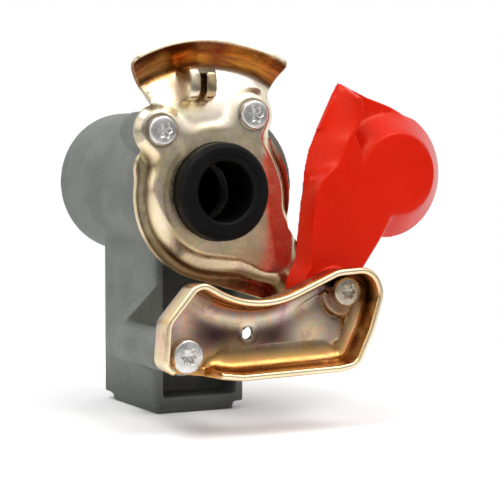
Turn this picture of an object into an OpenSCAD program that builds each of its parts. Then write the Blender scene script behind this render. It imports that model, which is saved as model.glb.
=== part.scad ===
// Pneumatic coupling head with line filter, for a trailer's air brake.
// Millimetres, +Z up, the face that meets the other coupling looks along -Y.
// The origin is on the port's axis, in the plane that the foot stands on.

/* [Coupling face] */
// Height of the claw plate's middle above the foot
face_z = 87.5; // [80:0.5:100]
// Sideways place of the claw plate's middle from the port's axis
face_x = -5; // [-7:0.5:-3]
// Forward place of the claw plate's main face from the port's axis
face_reach = 54.25; // [50:0.25:60]
// Height of the seal's axis above the claw plate's middle
seal_rise = 1.7; // [0:0.1:2.2]
// Outer radius of the rubber seal
seal_r = 18.9; // [17.8:0.1:20]
// Radius of the opening through the seal
seal_bore_r = 11.6; // [9:0.1:12.5]
// How far the seal stands in front of the main face
seal_proud = 7.2; // [5:0.1:7.5]

/* [Claw plate] */
// Thickness of the pressed sheet of claw plate and guide tray
sheet = 2.5; // [2:0.1:3]
// Radius of the raised face round the seal
plateau_r = 27.5; // [26.5:0.25:28.5]
// Radius of the lower rim round the raised face
flange_r = 33; // [32:0.25:35]
// How far the rim lies behind the raised face
flange_drop = 4; // [3.5:0.25:5]
// Distance of the claw screws from the plate's middle
claw_screw_r = 34.6; // [34:0.1:36]
// Direction of the left claw screw, in degrees
claw_screw_left = 134; // [130:0.5:138]
// Direction of the right claw screw, in degrees
claw_screw_right = 65; // [61:0.5:68]
// Radius of the claw lip's outer edge
lip_r = 65.25; // [63:0.25:67]
// Radius where the sloping sheet turns into the lip
groove_r = 53.5; // [52:0.25:55]
// Sweep of the lip to the left of the middle, in degrees
lip_left = 29.5; // [26:0.5:33]
// Sweep of the lip to the right of the middle, in degrees
lip_right = 30.5; // [26:0.5:34]

/* [Guide tray] */
// Distance from the main face to the front of the tray's floor
tray_gap = 26; // [25.5:0.25:30]
// Depth of the tray's side walls in front of its floor
tray_wall = 11; // [8:0.5:14]
// Radius of the tray's hollow upper edge about the plate's middle
tray_arc_r = 37.7; // [36.5:0.1:39]
// Sideways place of the left tray screw from the plate's middle
lug_u = -26.1; // [-28:0.1:-24]
// Height of the left tray screw from the plate's middle
lug_v = -57.5; // [-59:0.1:-56]

/* [Cover] */
// Sideways place of the cover's pivot from the plate's middle
pivot_u = 39.9; // [39:0.1:41]
// Height of the cover's pivot from the plate's middle
pivot_v = -36.1; // [-37:0.1:-35.5]
// Angle that the cover is swung open from the closed place
cover_open = 82.1; // [60:0.1:95]
// Radius of the cover's dome at its base
dome_r = 25.8; // [25:0.1:27]
// Radius of the cover's flat top
disc_r = 16; // [14:0.25:18]
// Height of the cover
cover_h = 11.5; // [10:0.25:12]
// Wall thickness of the cover
cover_wall = 2.2; // [1.6:0.1:2.8]

/* [Housing] */
// Outer radius of the filter barrel
barrel_r = 30; // [29:0.25:32]
// Length of the filter barrel
barrel_len = 99.5; // [94:0.5:110]
// Height of the barrel's axis above the plate's middle
barrel_rise = 4.2; // [3:0.1:5]
// Radius of the filter chamber
chamber_r = 24.5; // [23.5:0.1:25.5]
// Width of the column under the barrel
column_w = 40; // [36:0.5:44]
// Depth of the column
column_d = 53.5; // [50:0.5:58]
// Thickness of the column's side walls
column_wall = 3.8; // [3.5:0.1:6]
// Depth of the pocket in the column's front
pocket_d = 16; // [8:0.5:16]
// Height of the foot
foot_h = 2.9; // [2.4:0.1:6]
// Radius of the two screw lugs for tray and cover
lug_r = 7.75; // [7:0.25:9]

/* [Port] */
// Radius of the drilled hole for the M16 x 1.5 thread
port_r = 7.25; // [6.5:0.05:9]
// Depth of the threaded port
port_depth = 18; // [14:0.5:22]

/* [Filter] */
// Outer radius of the filter screen
screen_r = 20.5; // [19.5:0.1:21]
// Length of the filter screen
screen_len = 44; // [36:0.5:46]

/* [Screws] */
// Shank radius of the screws
screw_r = 3; // [2.5:0.05:3]
// Head radius of the claw screws and the pivot screw
screw_head_r = 5.7; // [5:0.1:5.8]
// Head radius of the left tray screw
tray_head_r = 6.3; // [5.5:0.1:6.8]
// Head height of the screws
screw_head_h = 2.8; // [2.4:0.1:4]

/* [Hidden] */
$fn = 64;
// running gap and seating gap
run = 0.06;
slack = 0.1;
// reference plane and axes
face_y = -face_reach;
barrel_x = face_x + 5;
barrel_z = face_z + barrel_rise;
mount_w = -flange_drop - sheet;
barrel_front = face_y - mount_w;
barrel_back = barrel_front + barrel_len;
column_front = -column_d / 2;
column_left = barrel_x - column_w / 2;
// places on the coupling face
left_screw = claw_screw_r * [cos(claw_screw_left), sin(claw_screw_left)];
right_screw = claw_screw_r * [cos(claw_screw_right), sin(claw_screw_right)];
lug_at = [lug_u, lug_v];
pivot_at = [pivot_u, pivot_v];
barrel_at = [barrel_x - face_x, barrel_rise];
// pads under the claw screws and the plate's corners
pad_r = 8;
corner_r = 10.2;
ear_r = 9.5;
ear_turn = atan2(pivot_v, pivot_u) - acos((flange_r - ear_r) / norm(pivot_at));
ear_low = [cos(ear_turn), sin(ear_turn)];
step_run = 3.2;
// middle of the curled lip's arc
lip_at = [-3.2, -4.5];
// seal's collar and stem behind the plate
seal_at = [0, seal_rise];
collar_r = 22.5;
stem_r = 17;
stem_end = -13.4;
backing_t = 2;
bore_end = stem_end - backing_t - slack;
// tray planes
floor_back = tray_gap - sheet;
rim_w = tray_gap + tray_wall;
pad_h = 2;
tray_pad_r = 9;
tray_bend = 4;
tray_flare = 0.5;
spot = 0.2;
// cover planes and stack on the pivot
cover_base = seal_proud + 0.4;
cover_top = cover_base + cover_h;
sleeve_r = 5;
hub_r = 15;
hub_top = floor_back - 1.9;
hub_foot = cover_base - 1.5;
dome_reach = norm(pivot_at);
dome_dir = atan2(-pivot_v, -pivot_u) - cover_open;
dome_at = dome_reach * [cos(dome_dir), sin(dome_dir)];
washer_t = 1.5;
// filter stack along the barrel, from the main face backwards
chamber_front = 23.5;
ring_t = 3;
screen_front = chamber_front + ring_t;
screen_back = screen_front + screen_len;
seat_t = 3;
cap_t = 8;
clip_t = 1.6;
clip_at = barrel_len - mount_w - 5.5;
cap_front = clip_at - slack - cap_t;
clip_deep = 1.6;
cord_r = 1.5;
spring_wire = 0.9;

// frame on the coupling face: right, up and forward from the plate's middle
module face() {
    translate([face_x, face_y, face_z]) rotate([90, 0, 0]) children();
}

// frame on the barrel: the axis runs forward, from the plane of the main face
module barrel() {
    face() translate(barrel_at) children();
}

// disc or ring on the face frame between two depths
module slab(w0, w1) {
    translate([0, 0, w0]) linear_extrude(height = w1 - w0) children();
}

// round-ended link between two circles with their outer tangents
function tangents(p, rp, q, rq) =
    let (d = q - p, a = atan2(d[1], d[0]), b = acos((rp - rq) / norm(d)))
    [p + rp * [cos(a + b), sin(a + b)], q + rq * [cos(a + b), sin(a + b)],
     q + rq * [cos(a - b), sin(a - b)], p + rp * [cos(a - b), sin(a - b)]];

module link(p, rp, q, rq) {
    translate(p) circle(r = rp);
    translate(q) circle(r = rq);
    polygon(tangents(p, rp, q, rq));
}

// rounding of one corner of an outline, as a short run of points
function corner(a, b, c, r, n) =
    let (u = (a - b) / norm(a - b), v = (c - b) / norm(c - b), h = acos(u * v) / 2,
         m = b + (u + v) / norm(u + v) * r / sin(h), p = b + u * r / tan(h), q = b + v * r / tan(h),
         s = atan2(p[1] - m[1], p[0] - m[0]), t = atan2(q[1] - m[1], q[0] - m[0]),
         e = t - s > 180 ? t - 360 : t - s < -180 ? t + 360 : t)
    [for (i = [0:n]) m + r * [cos(s + (e - s) * i / n), sin(s + (e - s) * i / n)]];

function rounded(pts, radii, n = 5) =
    let (k = len(pts))
    [for (i = [0:k - 1]) each radii[i] > 0
        ? corner(pts[(i + k - 1) % k], pts[i], pts[(i + 1) % k], radii[i], n) : [pts[i]]];

// outline moved inwards by a wall thickness, for points that run clockwise
function inset(pts, d) =
    let (k = len(pts))
    [for (i = [0:k - 1])
        let (a = pts[(i + k - 1) % k], b = pts[i], c = pts[(i + 1) % k],
             s = (b - a) / norm(b - a), t = (c - b) / norm(c - b),
             n = [s[1], -s[0]], m = [t[1], -t[0]])
        b + (n + m) * d / (1 + n * m)];

// wound wire: a round section carried along a helix
module coil(mean_r, wire_r, length, turns) {
    sides = 8;
    steps = round(turns * 20);
    pitch = (length - 2 * wire_r) / turns;
    points = [for (i = [0:steps], j = [0:sides - 1])
        let (a = 360 * turns * i / steps, b = 360 * j / sides, r = mean_r + wire_r * cos(b))
        [r * cos(a), r * sin(a), wire_r + pitch * turns * i / steps + wire_r * sin(b)]];
    sides_of = [for (i = [0:steps - 1], j = [0:sides - 1])
        let (p = i * sides + j, q = i * sides + (j + 1) % sides)
        [p, p + sides, q + sides, q]];
    first = [[for (j = [0:sides - 1]) j]];
    last = [[for (j = [0:sides - 1]) (steps + 1) * sides - 1 - j]];
    polyhedron(points, concat(sides_of, first, last));
}

// cap screw with a six-lobed socket, head towards +Z, seat at the origin
module cap_screw(length, head_r) {
    difference() {
        union() {
            cylinder(r = head_r, h = screw_head_h - 0.8);
            translate([0, 0, screw_head_h - 0.8]) cylinder(r1 = head_r, r2 = head_r - 1, h = 0.8);
            translate([0, 0, -length]) cylinder(r = screw_r - 0.03, h = length + 0.5);
        }
        translate([0, 0, screw_head_h - 1.8]) linear_extrude(height = 3) socket();
    }
}

module socket() {
    difference() {
        circle(r = 2.8);
        for (i = [0:5]) rotate(60 * i + 30) translate([2.95, 0]) circle(r = 0.8);
    }
}

// Housing

module barrel_body() {
    barrel() translate([0, 0, mount_w - barrel_len]) cylinder(r = barrel_r, h = barrel_len);
}

// outline of a claw screw's lug with its neck towards the barrel
module lug_outline(at, r) {
    reach = norm(barrel_at - at);
    turn = atan2(barrel_at[1] - at[1], barrel_at[0] - at[0]);
    translate(at) {
        circle(r = r);
        rotate(turn) translate([0, -r]) square([reach, 2 * r]);
    }
}

module claw_lug(at) {
    face() slab(mount_w - 17, mount_w) lug_outline(at, lug_r);
}

module column() {
    top = barrel_z;
    translate([barrel_x, 0, foot_h]) linear_extrude(height = top - foot_h) rounded_box(column_w, column_d, 2);
}

module rounded_box(w, d, r) {
    square([w - 2 * r, d], center = true);
    square([w, d - 2 * r], center = true);
    for (i = [-1, 1], j = [-1, 1]) translate([i * (w / 2 - r), j * (d / 2 - r)]) circle(r = r);
}

module foot() {
    w = column_w - 5.5;
    d = column_d - 7.4;
    translate([column_left + 1.2 + w / 2, column_front + 1 + d / 2, 0])
        linear_extrude(height = foot_h + 1) rounded_box(w, d, 1.5);
}

// open box in the column's front, with rounded corners at its lower end
module pocket() {
    w = column_w - 2 * column_wall;
    h = barrel_z - foot_h + 7;
    translate([barrel_x, column_front + pocket_d, foot_h + 3.4 + h / 2]) rotate([90, 0, 0])
        linear_extrude(height = pocket_d + 1) rounded_box(w, h, 1.2);
}

// arm that carries the left tray screw, with its web on the column
module tray_arm() {
    web_w = face_y - column_front;
    foot_u = column_left - face_x;
    face() {
        slab(web_w - 3.5, floor_back) translate(lug_at) circle(r = lug_r);
        slab(web_w - 6, web_w) {
            link(lug_at, lug_r - 0.4, [foot_u + 2, lug_v + 20.5], 2);
            link(lug_at, lug_r - 0.4, [foot_u + 2, lug_v - 12], 2);
            polygon([lug_at, [foot_u + 2, lug_v + 20.5], [foot_u + 2, lug_v - 12]]);
        }
    }
}

// boss for the pivot screw, with its web on barrel and column
module pivot_arm() {
    wall_u = column_left + column_w - face_x;
    web_w = face_y - column_front;
    face() {
        slab(web_w - 9, mount_w) translate(pivot_at) circle(r = lug_r);
        slab(web_w - 8, web_w + 8) link(pivot_at, lug_r - 0.4, barrel_at + [14, -12], 9);
        slab(web_w - 7, web_w + 2) {
            link(pivot_at, lug_r - 0.8, [wall_u - 2.2, pivot_v - 18], 1.8);
            polygon([pivot_at, barrel_at + [14, -12], [wall_u - 2.2, pivot_v - 18]]);
        }
    }
}

module housing() {
    color("Gainsboro") difference() {
        union() {
            difference() {
                union() {
                    column();
                    foot();
                }
                pocket();
            }
            barrel_body();
            claw_lug(left_screw);
            claw_lug(right_screw);
            tray_arm();
            pivot_arm();
        }
        housing_bores();
    }
}

module housing_bores() {
    // way in from the seal, offset from the barrel's axis
    face() {
        translate([0, seal_rise, bore_end]) cylinder(r = stem_r + slack, h = mount_w - bore_end + 1);
        translate([0, seal_rise, -chamber_front - 1]) cylinder(r = seal_bore_r, h = chamber_front);
        for (at = [left_screw, right_screw])
            translate([at[0], at[1], mount_w - 14]) cylinder(r = screw_r, h = 15);
        translate([lug_u, lug_v, floor_back - 22]) cylinder(r = screw_r, h = 23);
        translate([pivot_u, pivot_v, mount_w - 16]) cylinder(r = screw_r, h = 17);
    }
    // filter chamber, open at the back, with the groove for the retaining ring
    barrel() {
        translate([0, 0, mount_w - barrel_len - 1])
            cylinder(r = chamber_r, h = barrel_len + 1 - chamber_front - mount_w);
        translate([0, 0, -clip_at - clip_t - slack]) cylinder(r = chamber_r + clip_deep, h = clip_t + slack);
    }
    // port in the foot and its way up into the chamber
    translate([0, 0, -1]) cylinder(r = port_r, h = port_depth + 1);
    translate([0, 0, port_depth - 1]) cylinder(r = port_r - 1, h = barrel_z - port_depth - chamber_r + 6);
}

// Claw plate

module claw_outline() {
    circle(r = flange_r);
    translate(left_screw) circle(r = corner_r);
    translate(right_screw) circle(r = corner_r);
    // shallow waist between the left corner and the rim
    translate((flange_r - 9) * [cos(claw_screw_left + 22), sin(claw_screw_left + 22)]) circle(r = 11);
    link(pivot_at, ear_r, [20, -20], 13);
    // straight lower edge, touching the rim and the ear
    polygon([[0, 0], flange_r * ear_low, pivot_at + ear_r * ear_low, pivot_at]);
}

// raised face: a flat round the seal, running out towards the ear, and one round each claw screw
module raised(shrink, w0, w1) {
    drop = w1 - w0;
    run_out = step_run * drop / flange_drop;
    spots = [[[0, 0], plateau_r], [[3, -2], plateau_r - 0.5], [[10, -12], 17], [[19, -20.5], 11],
        [left_screw, pad_r], [right_screw, pad_r]];
    for (spot = spots)
        translate([spot[0][0], spot[0][1], w0])
            cylinder(r1 = spot[1] - shrink + run_out, r2 = spot[1] - shrink, h = drop);
}

// sloping sheet and curled lip above the seal, turned about a point below the seal's axis
module lip() {
    slope_w = -8.5;
    curl = lip_r - groove_r - 1.2;
    translate(lip_at) rotate([0, 0, 90 - lip_right]) rotate_extrude(angle = lip_left + lip_right) {
        polygon([[plateau_r + 1.5, -0.6], [groove_r, slope_w], [groove_r, slope_w - sheet],
            [plateau_r + 1.5, -0.6 - sheet]]);
        difference() {
            translate([groove_r, slope_w + curl]) circle(r = curl + sheet);
            translate([groove_r, slope_w + curl]) circle(r = curl);
            translate([0, slope_w - 40]) square([groove_r, 100]);
            translate([0, slope_w + curl * 0.62]) square([200, 100]);
        }
    }
}

// lanced tab on the sloping sheet: two cheeks with a slot between
module tab() {
    for (u = [-15, -7]) translate([u, 36, -8]) cube([4.8, 13.6, 13]);
    translate([-15, 46.4, -8]) cube([12.8, 3.2, 12]);
}

module claw_plate() {
    color("Goldenrod") face() difference() {
        union() {
            difference() {
                union() {
                    slab(mount_w, -flange_drop) claw_outline();
                    raised(0, -flange_drop, 0);
                    lip();
                    tab();
                }
                raised(sheet, mount_w - 1, -sheet);
                // room for the casting's lugs under the sloping sheet
                for (at = [left_screw, right_screw])
                    slab(mount_w - 12, mount_w) lug_outline(at, lug_r + 0.3);
            }
            slab(mount_w, -sheet)
                for (at = [left_screw, right_screw]) translate(at) circle(r = pad_r - sheet + 0.5);
        }
        translate([0, seal_rise, -40]) cylinder(r = seal_r + 0.3, h = 60);
        for (at = [left_screw, right_screw, pivot_at]) translate([at[0], at[1], -40])
            cylinder(r = screw_r + 0.3, h = 60);
    }
}

module claw_screws() {
    color("Silver") face() for (at = [left_screw, right_screw]) translate(at) cap_screw(16, screw_head_r);
}

// Seal

module seal_ring() {
    color("DimGray") face() translate(seal_at) rotate_extrude() polygon([
        [seal_bore_r, stem_end], [stem_r, stem_end], [stem_r, mount_w], [collar_r, mount_w],
        [collar_r, -sheet - slack], [seal_r, -sheet - slack], [seal_r, seal_proud - 1.7],
        [seal_r - 1.7, seal_proud], [seal_bore_r + 0.8, seal_proud], [seal_bore_r, seal_proud - 0.8]]);
}

module seal_backing_ring() {
    color("Silver") face() translate(seal_at) slab(stem_end - backing_t, stem_end) difference() {
        circle(r = stem_r);
        circle(r = seal_bore_r);
    }
}

// Guide tray

arc_steps = 10;
arc_from = 239;
arc_to = 293;
tray_points = concat(
    [[-39.5, -62], [-38.2, -44], [-25.4, -29.2]],
    [for (i = [0:arc_steps]) let (a = arc_from + (arc_to - arc_from) * i / arc_steps)
        tray_arc_r * [cos(a), sin(a)]],
    [[32, -27.6], [pivot_u + 8.2, pivot_v + 9.4], [pivot_u + 12, pivot_v - 1], [47.4, -51], [41, -64],
     [33, -65.2], [-8, -66.2]]);
tray_radii = concat([5, 7, 6], [for (i = [0:arc_steps]) 0], [12, 9, 9, 0, 7, 0, 0]);

// one level of the dish: the outline drawn in by a distance, at a depth
function level(d, w) =
    let (radii = [for (r = tray_radii) r > 0 ? max(r - d, 1) : 0])
    [for (p = rounded(inset(tray_points, d), radii)) [p[0], p[1], w]];

// skin of the dish from its floor, through the rounded bend, to the rim
module dish(d, w, bend, top) {
    steps = 4;
    rings = concat(
        [for (i = [0:steps])
            let (a = 90 * i / steps) level(d + bend * (1 - sin(a)), w + bend * (1 - cos(a)))],
        [level(d - tray_flare, top)]);
    k = len(rings[0]);
    walls = [for (i = [0:steps], j = [0:k - 1], half = [0, 1])
        let (p = i * k + j, q = i * k + (j + 1) % k)
        half == 0 ? [p, q + k, p + k] : [p, q, q + k]];
    floor_face = [[for (j = [0:k - 1]) k - 1 - j]];
    top_face = [[for (j = [0:k - 1]) (steps + 1) * k + j]];
    polyhedron([for (ring = rings) each ring], concat(walls, floor_face, top_face));
}

module guide_tray() {
    color("Goldenrod") face() difference() {
        union() {
            difference() {
                dish(0, floor_back, tray_bend, rim_w);
                dish(sheet, tray_gap, tray_bend - sheet + 1, rim_w + 1);
                // open lower corner beside the left screw
                slab(tray_gap - spot, rim_w + 1) translate(lug_at) {
                    circle(r = tray_head_r + 0.6);
                    translate([-tray_head_r - 0.6, -20]) square([2 * tray_head_r + 1.2, 20]);
                }
            }
            translate([pivot_u, pivot_v, tray_gap - 0.5])
                cylinder(r1 = tray_pad_r + 1, r2 = tray_pad_r, h = pad_h + 0.5);
        }
        translate([pivot_u, pivot_v, 0]) cylinder(r = screw_r + 0.3, h = 60);
        translate([lug_u, lug_v, 0]) cylinder(r = screw_r + 0.3, h = 60);
        translate([-0.8, -50.3, 0]) cylinder(r = 2.5, h = 60);
    }
}

module tray_screw() {
    color("Silver") face() translate([lug_u, lug_v, tray_gap - spot]) cap_screw(20, tray_head_r);
}

// Cover and its pivot

module pivot_screw() {
    reach = tray_gap + pad_h;
    length = reach - mount_w + 14;
    color("Silver") face() translate([pivot_u, pivot_v, reach]) cap_screw(length, screw_head_r);
}

module pivot_sleeve() {
    color("Silver") face() slab(-flange_drop, floor_back) translate(pivot_at) difference() {
        circle(r = sleeve_r);
        circle(r = screw_r + slack);
    }
}

module pivot_washer() {
    color("Silver") face() slab(floor_back - washer_t, floor_back) translate(pivot_at) difference() {
        circle(r = 8.5);
        circle(r = sleeve_r + slack);
    }
}

// stations along the cover's raised edge, from its pivot and in the open position:
// outer foot, outer and inner edge of the crest, inner foot
fin = [
    [[-8.3, 33], [-7.6, 33], [4, 33], [4, 33]],
    [[-7.7, 38.5], [-6.9, 38.6], [6, 38], [6, 38]],
    [[-7.3, 42.5], [-4.8, 42.5], [10, 42], [10, 42]],
    [[-6.9, 46.5], [-1.2, 45.4], [13, 45], [13, 45]],
    [[-6.1, 50], [2.4, 48.4], [13.4, 49], [13.4, 49]],
    [[-5.1, 54], [4.6, 52.2], [13.4, 51.6], [13.4, 51.6]],
    [[-3.3, 58], [5.6, 56.2], [12.6, 53.8], [13, 53.6]],
    [[-1.7, 61.8], [8.8, 60.6], [9.8, 60.2], [11.8, 59.4]],
    [[0.3, 66], [11.2, 64.8], [12.3, 64.6], [14.3, 63.8]],
    [[2.1, 69.5], [12.2, 68.6], [13.3, 68.6], [15.3, 67.8]],
    [[5.1, 75.5], [12.2, 71.6], [13.2, 71.8], [15.2, 71.6]],
    [[8, 80.4], [11.6, 74], [12.4, 74.2], [14.4, 77.2]]];
fin_tip = fin[11][0];
fin_waist = fin[7][0];
fin_heel = [-8.4, 34.5];

module thin(w) {
    translate([0, 0, w]) linear_extrude(height = 0.02) children();
}

// drafted block between an outline at the base and one at the top
module loft(base, top, w0, w1) {
    hull() {
        thin(w0) polygon(base);
        thin(w1 - 0.02) polygon(top);
    }
}

// arm from the pivot to the dome, its top level with the dome's
module cover_arm(d) {
    loft([fin_heel + [d, 0], [2 + d, 52 - d], dome_at, dome_at + [-0.5 - d, -24 + d], [24.3 - d, 17 + d],
          [13.6 - d, 5.8], [9 - d, 0], [-11.5 + d, 0], [-11 + d, 11]],
         [fin_heel + [0.8 + d, 0], [2 + d, 47.6 - d], dome_at, dome_at + [-3.5 - d, -16 + d],
          [20.5 - d, 18 + d], [12 - d, 6.4], [7.5 - d, 0], [-10 + d, 0], [-9.8 + d, 11]],
         cover_base, cover_top - d);
}

// raised edge between two stations: a ruled outer face, a narrow crest and a drafted inner face
module cover_fin(first, last, d) {
    top = cover_top - 2 * d;
    moved = [1.3 * d, -0.4 * d, -0.7 * d, -d];
    points = [for (i = [first:last], j = [0:3])
        [fin[i][j][0] + moved[j], fin[i][j][1], j == 1 || j == 2 ? top : cover_base]];
    count = last - first;
    strips = [for (i = [0:count - 1], j = [0:3], half = [0, 1])
        let (p = 4 * i + j, q = 4 * i + (j + 1) % 4)
        half == 0 ? [p, p + 4, q + 4] : [p, q + 4, q]];
    ends = [[0, 1, 2], [0, 2, 3], [4 * count + 3, 4 * count + 2, 4 * count + 1],
        [4 * count + 3, 4 * count + 1, 4 * count]];
    polyhedron(points, concat(strips, ends));
}

module cover() {
    web = dome_at + dome_r * [cos(74), sin(74)];
    color("Red") face() translate(pivot_at) difference() {
        union() {
            difference() {
                union() {
                    translate([dome_at[0], dome_at[1], cover_base])
                        cylinder(r1 = dome_r, r2 = disc_r, h = cover_h);
                    cover_arm(0);
                    cover_fin(0, 11, 0);
                    translate([0, 0, cover_base]) cylinder(r1 = hub_r, r2 = hub_r - 1.5, h = cover_h);
                }
                translate([dome_at[0], dome_at[1], cover_base - 0.01])
                    cylinder(r1 = dome_r - cover_wall, r2 = disc_r - 0.7 * cover_wall,
                             h = cover_h - cover_wall);
                difference() {
                    union() {
                        translate([0, 0, -0.01]) cover_arm(cover_wall);
                        translate([0, 0, -0.01]) cover_fin(5, 10, cover_wall);
                    }
                    cylinder(r = hub_r - cover_wall, h = 60);
                }
                // ring-shaped hollow between the hub's rim and its bearing
                slab(cover_base - 1, cover_top - cover_wall) difference() {
                    circle(r = hub_r - cover_wall);
                    circle(r = sleeve_r + 3.5);
                }
            }
            // flat web between the dome and the tip of the fin
            slab(cover_base, cover_base + cover_wall) difference() {
                polygon([fin_waist, fin_tip + [0.4, -0.6], [20.5, 74.6], web, dome_at]);
                translate(dome_at) circle(r = dome_r - cover_wall);
            }
            slab(hub_foot, hub_top) circle(r = sleeve_r + 3.5);
        }
        cylinder(r = sleeve_r + run, h = 60);
    }
}

module cover_spring() {
    length = hub_foot + flange_drop - 0.3;
    color("Silver") face() translate([pivot_u, pivot_v, -flange_drop])
        coil(sleeve_r + 0.4 + spring_wire, spring_wire, length, 2.5);
}

// Filter and rear closure, from front to back inside the barrel

module filter_front_ring() {
    color("Gainsboro") barrel() slab(-screen_front, -chamber_front) difference() {
        circle(r = screen_r + 1.5);
        circle(r = screen_r - 3);
    }
}

module filter_screen() {
    color("Tan") barrel() slab(-screen_back, -screen_front) difference() {
        circle(r = screen_r);
        circle(r = screen_r - 1.6);
    }
}

module filter_seat() {
    color("Gainsboro") barrel() {
        slab(-screen_back - seat_t, -screen_back) circle(r = screen_r + 1.5);
        slab(-screen_back - seat_t - 5, -screen_back - seat_t) circle(r = 7);
    }
}

module filter_spring() {
    length = cap_front - screen_back - seat_t;
    color("Silver") barrel() translate([0, 0, -cap_front]) coil(9, 1, length, 4);
}

module end_cap() {
    color("Gainsboro") barrel() difference() {
        slab(-cap_front - cap_t, -cap_front) circle(r = chamber_r - slack);
        slab(-cap_front - cap_t / 2 - cord_r - slack, -cap_front - cap_t / 2 + cord_r + slack) difference() {
            circle(r = chamber_r + 5);
            circle(r = chamber_r - 2 * cord_r - slack);
        }
        slab(-cap_front - cap_t - 1, -cap_front - cap_t + 3) difference() {
            circle(r = chamber_r - 5);
            circle(r = 7);
        }
    }
}

module end_cap_ring() {
    color("DimGray") barrel() translate([0, 0, -cap_front - cap_t / 2]) rotate_extrude()
        translate([chamber_r - cord_r - slack / 2, 0]) circle(r = cord_r - slack / 2);
}

module retaining_ring() {
    color("DimGray") barrel() slab(-clip_at - clip_t, -clip_at) difference() {
        circle(r = chamber_r + clip_deep - slack);
        circle(r = chamber_r - 2.2);
        translate([-3.5, -60]) square([7, 60]);
    }
}

housing();
claw_plate();
claw_screws();
seal_ring();
seal_backing_ring();
guide_tray();
tray_screw();
pivot_screw();
pivot_sleeve();
pivot_washer();
cover();
cover_spring();
filter_front_ring();
filter_screen();
filter_seat();
filter_spring();
end_cap();
end_cap_ring();
retaining_ring();
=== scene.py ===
import math

import bmesh
import bpy
import numpy as np
from mathutils import Matrix, Vector
from mathutils.geometry import delaunay_2d_cdt

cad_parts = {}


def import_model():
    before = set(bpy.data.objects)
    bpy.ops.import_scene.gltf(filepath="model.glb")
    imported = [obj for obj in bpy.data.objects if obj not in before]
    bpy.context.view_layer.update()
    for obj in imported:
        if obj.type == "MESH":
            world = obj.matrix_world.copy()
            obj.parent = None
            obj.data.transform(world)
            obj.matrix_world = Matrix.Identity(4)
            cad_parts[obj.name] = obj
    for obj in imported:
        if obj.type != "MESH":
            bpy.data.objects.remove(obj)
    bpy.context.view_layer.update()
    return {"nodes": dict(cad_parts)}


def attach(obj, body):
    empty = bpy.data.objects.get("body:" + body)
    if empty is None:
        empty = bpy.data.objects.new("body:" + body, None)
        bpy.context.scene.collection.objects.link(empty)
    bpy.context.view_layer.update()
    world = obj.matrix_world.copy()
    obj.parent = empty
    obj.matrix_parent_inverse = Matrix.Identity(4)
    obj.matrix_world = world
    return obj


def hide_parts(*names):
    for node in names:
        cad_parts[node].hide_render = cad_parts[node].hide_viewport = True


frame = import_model()
nodes = frame["nodes"]


def polar(radius, degrees):
    turn = math.radians(degrees)
    return radius * np.array([math.cos(turn), math.sin(turn)])


# Values of the part's source, in millimetres on the coupling face:
# u to the right, v up and w forward from the claw plate's middle on the main face
FACE_X, FACE_Y, FACE_Z = -5.0, -54.25, 87.5
SEAL_AT = np.array([0.0, 1.7])
SEAL_R, SEAL_BORE, SEAL_PROUD = 18.9, 11.6, 7.2
STEM_R, STEM_END, COLLAR_R, COLLAR_BACK, COLLAR_FRONT = 17.0, -13.4, 22.5, -6.5, -2.6
SHEET, PLATEAU_R, FLANGE_R, FLANGE_DROP = 2.5, 27.5, 33.0, 4.0
PAD_R, CORNER_R, EAR_R, STEP_RUN = 8.0, 10.2, 9.5, 3.2
LIP_AT = np.array([-3.2, -4.5])
LIP_R, GROOVE_R, LIP_LEFT, LIP_RIGHT = 65.25, 53.5, 29.5, 30.5
CLAW_HEAD_R, TRAY_HEAD_R, HEAD_H = 5.7, 6.3, 2.8
COVER_OPEN, COVER_TOP, DISC_R, DOME_R = 82.1, 19.1, 16.0, 25.8
TRAY_GAP, TRAY_WALL, TRAY_ARC_R, PIVOT_PAD = 26.0, 11.0, 37.7, 2.0
DRAIN, DRAIN_R = np.array([-0.8, -50.3]), 2.5
LUG = np.array([-26.1, -57.5])
PIVOT = np.array([39.9, -36.1])
SCREW_L, SCREW_R = polar(34.6, 134), polar(34.6, 65)


def world(points):
    """Points on the coupling face to metres in the shared frame."""
    p = np.asarray(points, float)
    return np.stack([p[:, 0] + FACE_X, FACE_Y - p[:, 2], p[:, 1] + FACE_Z], 1) * 0.001


def smooth_step(x):
    x = np.clip(x, 0, 1)
    return x * x * (3 - 2 * x)


def soft_max(a, b, k):
    h = np.clip(0.5 + 0.5 * (a - b) / k, 0, 1)
    return b + (a - b) * h + k * h * (1 - h)


def soft_min(a, b, k):
    return -soft_max(-a, -b, k)


def circle(centre, radius, n):
    turn = np.linspace(0, 2 * math.pi, n, endpoint=False)
    return centre + radius * np.column_stack([np.cos(turn), np.sin(turn)])


def tube_faces(first, levels, n):
    """Quads between closed rings of n points that follow one another."""
    return [(a + j, a + (j + 1) % n, a + n + (j + 1) % n, a + n + j)
            for a in range(first, first + (levels - 1) * n, n) for j in range(n)]


def add_mesh(name, verts, faces, material, body, replaces, sharp):
    mesh = bpy.data.meshes.new(name)
    mesh.from_pydata([tuple(p) for p in verts], [], [tuple(int(i) for i in f) for f in faces])
    mesh.validate()
    work = bmesh.new()
    work.from_mesh(mesh)
    bmesh.ops.remove_doubles(work, verts=work.verts, dist=0.00001)
    bmesh.ops.recalc_face_normals(work, faces=work.faces)
    work.to_mesh(mesh)
    work.free()
    mesh.polygons.foreach_set("use_smooth", [True] * len(mesh.polygons))
    mesh.set_sharp_from_angle(angle=math.radians(sharp))
    obj = bpy.data.objects.new(name, mesh)
    bpy.context.scene.collection.objects.link(obj)
    finish_piece(obj, material, body, replaces)
    return obj


def finish_piece(obj, material, body, replaces):
    obj.data.materials.clear()
    obj.data.materials.append(material)
    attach(obj, body)
    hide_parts(*replaces)


# Materials

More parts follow.
